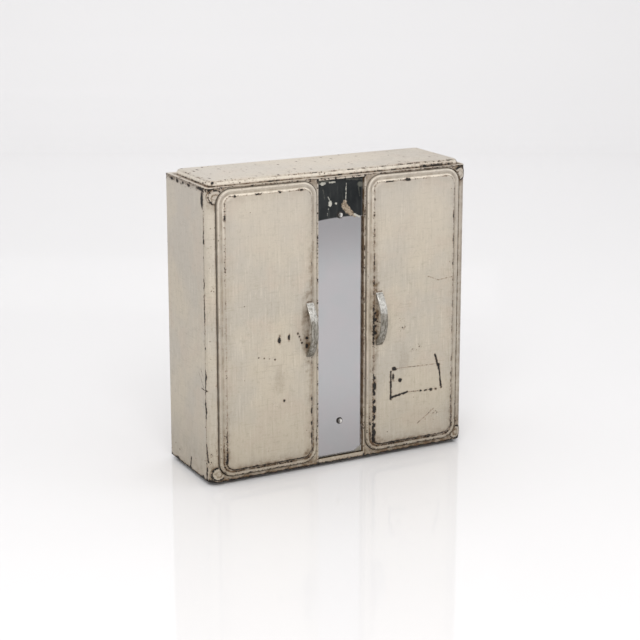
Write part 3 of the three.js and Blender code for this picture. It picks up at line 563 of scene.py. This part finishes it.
def frame_wear(t):
    low = t.ramp(t.z, 12.0, 2.0, 0.0, 0.8)
    mullion = t.mul(t.band(t.math("ABSOLUTE", t.x), 48.4, 1.6, 1.0), 0.75)
    top = t.ramp(t.z, 526.0, 532.0, 0.0, 0.72)
    return total(t, low, mullion, top)


def frame_grime_and_shade(t):
    across = t.math("ABSOLUTE", t.x)
    # Dirt low down; near the very foot a near-black painted shade.
    low = t.add(t.ramp(t.z, 30.0, 2.0, 0.0, 0.22), t.ramp(t.z, 4.0, 1.0, 0.0, 1.2))
    # Painted shade at the mirror bay's edge, in the door gaps and on faces set back from the front.
    bay = t.mul(t.ramp(t.y, FRONT + 0.1, FRONT + 0.8), t.ramp(across, 47.9, 47.4, 0.0, 0.62))
    gap = t.ramp(across, 49.3, 49.7, 0.0, 0.55)
    depth = t.ramp(t.y, FRONT + 0.4, FRONT + 4.0, 0.0, 0.5)
    right = t.ramp(t.x, 44.0, 47.0, 0.0, 0.16)
    return total(t, low, bay, gap, depth, right, 0.06)


def frame_marks(t):
    """Bare metal along the foot and in short runs along the top edge."""
    run = t.noise(12.0, 4.0, 0.6, shift=23.0)
    foot = t.sub(t.z, t.ramp(run, 0.40, 0.60, 1.2, 3.2))
    head = t.add(t.sub(CASE_TOP - 1.6, t.z), t.ramp(run, 0.46, 0.58, 3.0, 0.0))
    return t.least(foot, head)


def boss_distance(t):
    return t.vec("LENGTH", t.xyz(
        t.sub(t.math("ABSOLUTE", t.x), 248.5),
        t.sub(t.math("ABSOLUTE", t.sub(t.z, CASE_TOP / 2)), CASE_TOP / 2 - 16.4),
    ))


def boss_wear(t):
    return t.add(t.mul(t.band(boss_distance(t), 12.0, 0.8, 1.6), 0.7), 0.55)


def boss_grime_and_shade(t):
    away = boss_distance(t)
    wave = t.mul(t.sub(t.noise(9.0, 5.0, 0.65, shift=33.0), 0.5), 14.0)
    crease = t.mul(t.band(t.add(away, wave), 5.5, 0.5, 1.4), 0.7)
    low = t.ramp(t.z, 200.0, 100.0, 0.14, 0.30)
    # Painted shade at the boss's rim where it meets its neighbours; wavy dark creases, and more dirt low
    # down.
    return total(t, t.ramp(away, 12.6, 14.2, 0.0, 0.9), crease, low)


def inner_wear(t):
    return t.ramp(t.noise(90.0, 2.0, 0.5, shift=20.0), 0.5, 0.75, 0.0, 0.35)


def inner_grime(t):
    return t.ramp(t.noise(60.0, 4.0, 0.6, shift=22.0), 0.45, 0.8, 0.04, 0.4)


# ---------------------------------------------------------------- metal, mirror and small parts
def pull_metal():
    t = Tree("worn_plating")
    blot = t.noise(8.0, 6.0, 0.68, shift=1.0)
    fine = t.noise(1.8, 5.0, 0.7, shift=2.0)
    rubbed = t.noise(2.6, 4.0, 0.65, stretch=(1, 1, 6), shift=3.0)
    up = t.sub(t.z, LEFT.pull_z)
    low = t.ramp(up, 33.0, 10.0)
    foot = t.ramp(up, -20.0, -46.0)
    # Painted reflection: the upper strap takes a light tone, as lit from above, the lower strap a dark one,
    # broken up by blotches.
    highlit_tone = t.mix(t.ramp(rubbed, 0.40, 0.60), (0.40, 0.39, 0.36), (0.66, 0.645, 0.61))
    shaded_tone = t.mix(t.ramp(rubbed, 0.38, 0.62), (0.17, 0.155, 0.125), (0.39, 0.37, 0.33))
    share = t.ramp(t.add(low, t.mul(t.sub(blot, 0.5), 2.2)), 0.10, 0.95)
    color = t.mix(share, highlit_tone, shaded_tone)
    tarnish = t.ramp(t.add(blot, t.mul(foot, 0.10)), 0.56, 0.66)
    color = t.mix(t.mul(tarnish, 0.75), color, (0.12, 0.098, 0.065))
    pits = t.ramp(t.add(fine, t.mul(blot, 0.35)), 0.76, 0.82)
    color = t.mix(pits, color, (0.03, 0.025, 0.02))
    metallic = t.sub(0.9, t.mul(t.most(tarnish, pits), 0.7))
    rough = t.add(0.20, t.add(t.mul(share, 0.18), t.mul(fine, 0.20)))
    t.bump(t.sub(t.mul(blot, 0.4), t.mul(pits, 0.2)), 0.6)
    return t.finish(color, rough, metallic)


def screw_metal():
    t = Tree("screw_plating")
    fine = t.noise(1.4, 4.0, 0.6, shift=5.0)
    boxes = [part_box(end + "_mirror_screw") for end in ("upper", "lower")]
    levels = [t.sub(t.z, (low.z + high.z) * 500) for low, high in boxes]
    away = t.least(*[t.vec("LENGTH", t.xyz(t.x, level)) for level in levels])
    # Painted shade and reflection: the head darkens at its rim and on its left side.
    rim = t.ramp(away, 3.2, 5.0)
    painted_left_shade = t.ramp(t.x, 1.4, -2.6, 0.0, 0.85)
    color = t.mix(t.ramp(fine, 0.4, 0.7), (0.78, 0.77, 0.74), (0.50, 0.48, 0.45))
    color = t.mix(t.most(rim, painted_left_shade), color, (0.035, 0.03, 0.027))
    t.bump(t.mul(fine, 0.15), 0.4)
    return t.finish(color, t.add(0.16, t.mul(rim, 0.4)), 0.95)


def dull_steel():
    t = Tree("dull_steel")
    blot = t.noise(9.0, 6.0, 0.65, shift=31.0)
    fine = t.noise(1.2, 4.0, 0.6, shift=32.0)
    rust = t.ramp(blot, 0.54, 0.66)
    color = t.mix(fine, (0.33, 0.32, 0.30), (0.20, 0.19, 0.18))
    color = t.mix(t.mul(rust, 0.8), color, (0.13, 0.06, 0.03))
    t.bump(t.add(t.mul(fine, 0.1), t.mul(rust, 0.1)), 0.5)
    return t.finish(color, t.add(0.36, t.mul(rust, 0.35)), t.sub(0.9, t.mul(rust, 0.7)))


def rubber():
    t = Tree("black_rubber")
    fine = t.noise(1.5, 4.0, 0.6, shift=41.0)
    color = t.mix(fine, (0.018, 0.017, 0.016), (0.05, 0.045, 0.04))
    t.bump(t.mul(fine, 0.12), 0.5)
    return t.finish(color, t.add(0.7, t.mul(fine, 0.2)))


def backing_card():
    t = Tree("backing_card")
    fibre = t.noise(1.0, 5.0, 0.7, stretch=(4, 1, 1), shift=51.0)
    color = t.mix(fibre, (0.20, 0.14, 0.085), (0.30, 0.22, 0.14))
    t.bump(t.mul(fibre, 0.15), 0.5)
    return t.finish(color, 0.9)


def mirror_glass():
    t = Tree("aged_mirror")
    p = front_plane(t)
    warp = t.noise(4.5, 6.0, 0.72, shift=61.0)
    jag = t.mul(t.sub(warp, 0.5), 8.0)
    fine = t.noise(2.6, 5.0, 0.7, shift=62.0)
    haze = t.noise(46.0, 4.0, 0.55, shift=63.0)
    streak = t.noise(6.0, 4.0, 0.6, stretch=(1, 1, 7), shift=64.0)

    # Silver below, bare dark glass above a slightly bowed edge.
    off = t.sub(t.x, 10.0)
    bow = t.mul(t.mul(off, off), 0.0010)
    above = t.add(t.add(t.z, bow), t.mul(jag, 0.12))
    dark_zone = t.ramp(above, SILVER_TOP - 1, SILVER_TOP + 1)
    silver = t.mix(t.ramp(haze, 0.35, 0.65), (0.492, 0.478, 0.490), (0.476, 0.479, 0.490))
    silver = t.mix(t.ramp(t.z, 340.0, 460.0, 0.0, 0.42), silver, (0.16, 0.155, 0.16))
    silver = t.mix(t.ramp(t.z, 190.0, 20.0, 0.0, 0.20), silver, (0.17, 0.155, 0.16))
    cool = t.mix(t.ramp(haze, 0.35, 0.62), (0.007, 0.009, 0.010), (0.020, 0.022, 0.023))
    cool = t.mix(t.ramp(streak, 0.52, 0.75, 0.0, 0.55), cool, (0.05, 0.052, 0.048))
    color = t.mix(dark_zone, silver, cool)

    top, lost_edge = GLASS_TOP, SILVER_TOP
    smear = t.least(
        t.line(p, (-45, top - 3), (-23, top - 3), 1.2), t.line(p, (14, top - 3), (44, top - 5), 0.1),
        t.spot(p, (42, top - 14), (4.5, 4)),
        *[t.line(p, (x, top - 19), (x + 3, top - 36), -0.9) for x in (-34, 38)],
    )
    smear = t.ramp(t.add(smear, jag), 2.6, -1.4, 0.0, 0.55)
    blot = top - 45
    cream = t.least(
        t.spot(p, (-20, blot), (3.2, 5.6)), t.spot(p, (-8, blot), (1.8, 1.6)),
        t.line(p, (-24, blot + 13), (-20, blot + 4), 0.4), t.line(p, (-23, blot - 7), (-26, blot - 23), 0.1),
        t.line(p, (13, top - 10), (12, top - 41), 0.5),
        t.line(p, (30, lost_edge + 3), (40, lost_edge - 3), 1.7),
        t.spot(p, (-35, top - 7), (5.6, 3)), t.line(p, (-21, top - 6), (-10, top - 6), 1.3),
    )
    cream = t.ramp(t.add(cream, t.mul(jag, 0.8)), 0.5, -0.5)
    path = [(9, lost_edge + 21), (16, lost_edge + 11), (23, lost_edge + 5), (31, lost_edge)]
    strokes = [t.line(p, *ends) for ends in zip(path, path[1:], (5.8, 4.6, 2.8))]
    tan = t.least(*strokes, t.spot(p, (10, lost_edge + 27), (4, 3.4)))
    tan = t.ramp(t.add(tan, jag), 0.6, -0.5)
    drips = t.least(*[t.line(p, (x, lost_edge + 2), (x, lost_edge - 6), -0.2) for x in (-5, 0, 4)])
    drips = t.ramp(t.add(drips, t.mul(jag, 0.6)), 0.8, -0.6, 0.0, 0.6)
    corner = t.least(t.spot(p, (49, 8), (17, 12)), t.spot(p, (-49, 8), (7, 6)),
                     t.line(p, (-46, 10), (46, 10), 1.0), t.line(p, (47, 10), (47, 60), 0.2))
    corner = t.ramp(t.add(corner, t.mul(jag, 1.3)), 3.0, -2.5, 0.0, 0.75)
    # Painted highlight: a pale band along the bevelled glass edge, weaker in the dark zone; painted shade at
    # the very edge, under the frame.
    edge = t.sub(46.8, t.math("ABSOLUTE", t.x))
    ground_edge_highlight = t.mul(t.band(edge, 1.4, 0.9, 0.8), t.sub(0.45, t.mul(dark_zone, 0.40)))
    painted_edge_shade = t.ramp(t.add(edge, t.mul(jag, 0.2)), 0.7, 0.1, 0.0, 0.7)
    cream_tone = t.mix(fine, (0.30, 0.30, 0.26), (0.62, 0.60, 0.54))
    tan_tone = t.mix(t.ramp(fine, 0.35, 0.65), (0.14, 0.105, 0.07), (0.42, 0.345, 0.265))
    color = t.mix(smear, color, (0.20, 0.20, 0.165))
    color = t.mix(drips, color, (0.21, 0.13, 0.11))
    color = t.mix(tan, color, tan_tone)
    color = t.mix(cream, color, cream_tone)
    color = t.mix(corner, color, (0.24, 0.215, 0.15))
    color = t.mix(ground_edge_highlight, color, (0.74, 0.74, 0.76))
    color = t.mix(painted_edge_shade, color, (0.04, 0.035, 0.03))

    lost = t.most(dark_zone, cream, tan, drips, corner)
    metallic = t.sub(1.0, t.mul(lost, 0.95))
    rough = t.add(0.08, t.add(t.mul(lost, 0.26), t.mul(haze, 0.10)))
    t.bump(t.mul(t.most(cream, tan), 0.15), 0.5)
    return t.finish(color, rough, metallic, specular=0.2)


# ---------------------------------------------------------------- assign
MATERIALS = {
    "door_left": enamel("enamel_left_door", LEFT.wear, LEFT.grime_and_shade, LEFT.marks, LEFT.painted_highlight),
    "door_right": enamel("enamel_right_door", RIGHT.wear, RIGHT.grime_and_shade, RIGHT.marks, RIGHT.painted_highlight),
    "side": enamel("enamel_side", side_wear, side_grime_and_shade, side_marks),
    "top": enamel("enamel_top", top_wear, top_grime_and_shade, top_marks, top_painted_highlight),
    "frame": enamel("enamel_frame", frame_wear, frame_grime_and_shade, frame_marks),
    "boss": enamel("enamel_boss", boss_wear, boss_grime_and_shade),
    "inner": enamel("enamel_inner", inner_wear, inner_grime),
    "pull": pull_metal(),
    "screw": screw_metal(),
    "steel": dull_steel(),
    "rubber": rubber(),
    "card": backing_card(),
    "mirror": mirror_glass(),
}


def material_for(name):
    exact = {
        "left_door_skin": "door_left", "right_door_skin": "door_right",
        "top_panel": "top", "front_frame": "frame",
        "mirror_glass": "mirror", "mirror_card": "card",
    }
    if name in exact:
        return exact[name]
    rules = (
        ("side_panel", "side"), ("corner_boss", "boss"), ("door_handle", "pull"),
        ("mirror_screw", "screw"), ("washer", "rubber"), ("bumper", "rubber"),
        ("liner", "inner"), ("bay_panel", "inner"), ("bottom_panel", "inner"),
        ("back_panel", "inner"), ("shelf_bracket", "steel"), ("_shelf", "inner"),
    )
    for part, key in rules:
        if part in name:
            return key
    return "steel"


for name, obj in nodes.items():
    obj.data.materials.clear()
    obj.data.materials.append(MATERIALS[material_for(name)])


# ---------------------------------------------------------------- floor, light and camera
# The case stands a little proud of the floor, so that a dark line shows under its rounded foot.
FLOOR_DROP = -0.0065


def sweep(name, width, near, far, height, radius):
    """A floor that turns up into a wall, made as one smooth strip."""
    steps = 16
    path = [(near, 0.0)]
    for i in range(steps + 1):
        a = 0.5 * math.pi * i / steps
        path.append((far - radius + radius * math.sin(a), radius - radius * math.cos(a)))
    path.append((far, height))
    verts = [(x, y, z) for y, z in path for x in (-width, width)]
    faces = [(2 * i, 2 * i + 1, 2 * i + 3, 2 * i + 2) for i in range(len(path) - 1)]
    mesh = bpy.data.meshes.new(name)
    mesh.from_pydata(verts, [], faces)
    for poly in mesh.polygons:
        poly.use_smooth = True
    obj = bpy.data.objects.new(name, mesh)
    bpy.context.scene.collection.objects.link(obj)
    obj.rotation_euler.z = math.radians(-28)
    obj.location.z = FLOOR_DROP
    return obj


floor = sweep("studio_sweep", 14.0, -9.0, 5.0, 7.0, 1.6)
floor_look = Tree("studio_white")
floor_cloud = floor_look.noise(900.0, 2.0, 0.4)
floor_tone = floor_look.mix(floor_cloud, (0.768, 0.763, 0.772), (0.754, 0.749, 0.758))
floor.data.materials.append(floor_look.finish(floor_tone, 0.05, specular=0.36))

world = bpy.data.worlds.new("studio")
bpy.context.scene.world = world
world.use_nodes = True
background = world.node_tree.nodes["Background"]
background.inputs[0].default_value = (1.0, 0.995, 0.99, 1)
background.inputs[1].default_value = 0.93


def area_light(name, place, target, size, power, tone=(1, 1, 1)):
    data = bpy.data.lights.new(name, "AREA")
    data.shape = "RECTANGLE"
    data.size = size[0]
    data.size_y = size[1]
    data.energy = power
    data.color = tone
    obj = bpy.data.objects.new(name, data)
    obj.location = place
    aim = Vector(target) - Vector(place)
    obj.rotation_euler = aim.to_track_quat("-Z", "Y").to_euler()
    bpy.context.scene.collection.objects.link(obj)


area_light("key", (-1.4, -2.6, 2.9), (0, 0, 0.3), (2.2, 1.6), 65, (1.0, 0.985, 0.96))
area_light("fill", (2.6, -1.6, 1.6), (0, 0, 0.3), (2.0, 2.0), 8)
area_light("top", (0.0, 0.3, 3.2), (0, 0, 0.3), (2.6, 2.6), 12)
area_light("backdrop", (0.6, 2.6, 4.6), (2.2, 5.2, 2.6), (4.0, 1.5), 52)

camera_data = bpy.data.cameras.new("view")
camera = bpy.data.objects.new("view", camera_data)
bpy.context.scene.collection.objects.link(camera)
camera_data.sensor_width = 36
camera_data.lens = 93.889
camera_data.shift_y = -0.1258
camera_data.clip_end = 60
yaw = math.radians(27.87)
pitch = math.radians(-12.5)
camera.location = (-1.40602, -2.65184, 1.07047)
ahead = Vector((math.sin(yaw) * math.cos(pitch), math.cos(yaw) * math.cos(pitch), math.sin(pitch)))
camera.rotation_euler = ahead.to_track_quat("-Z", "Y").to_euler()
bpy.context.scene.camera = camera
bpy.context.scene.view_settings.view_transform = "Standard"
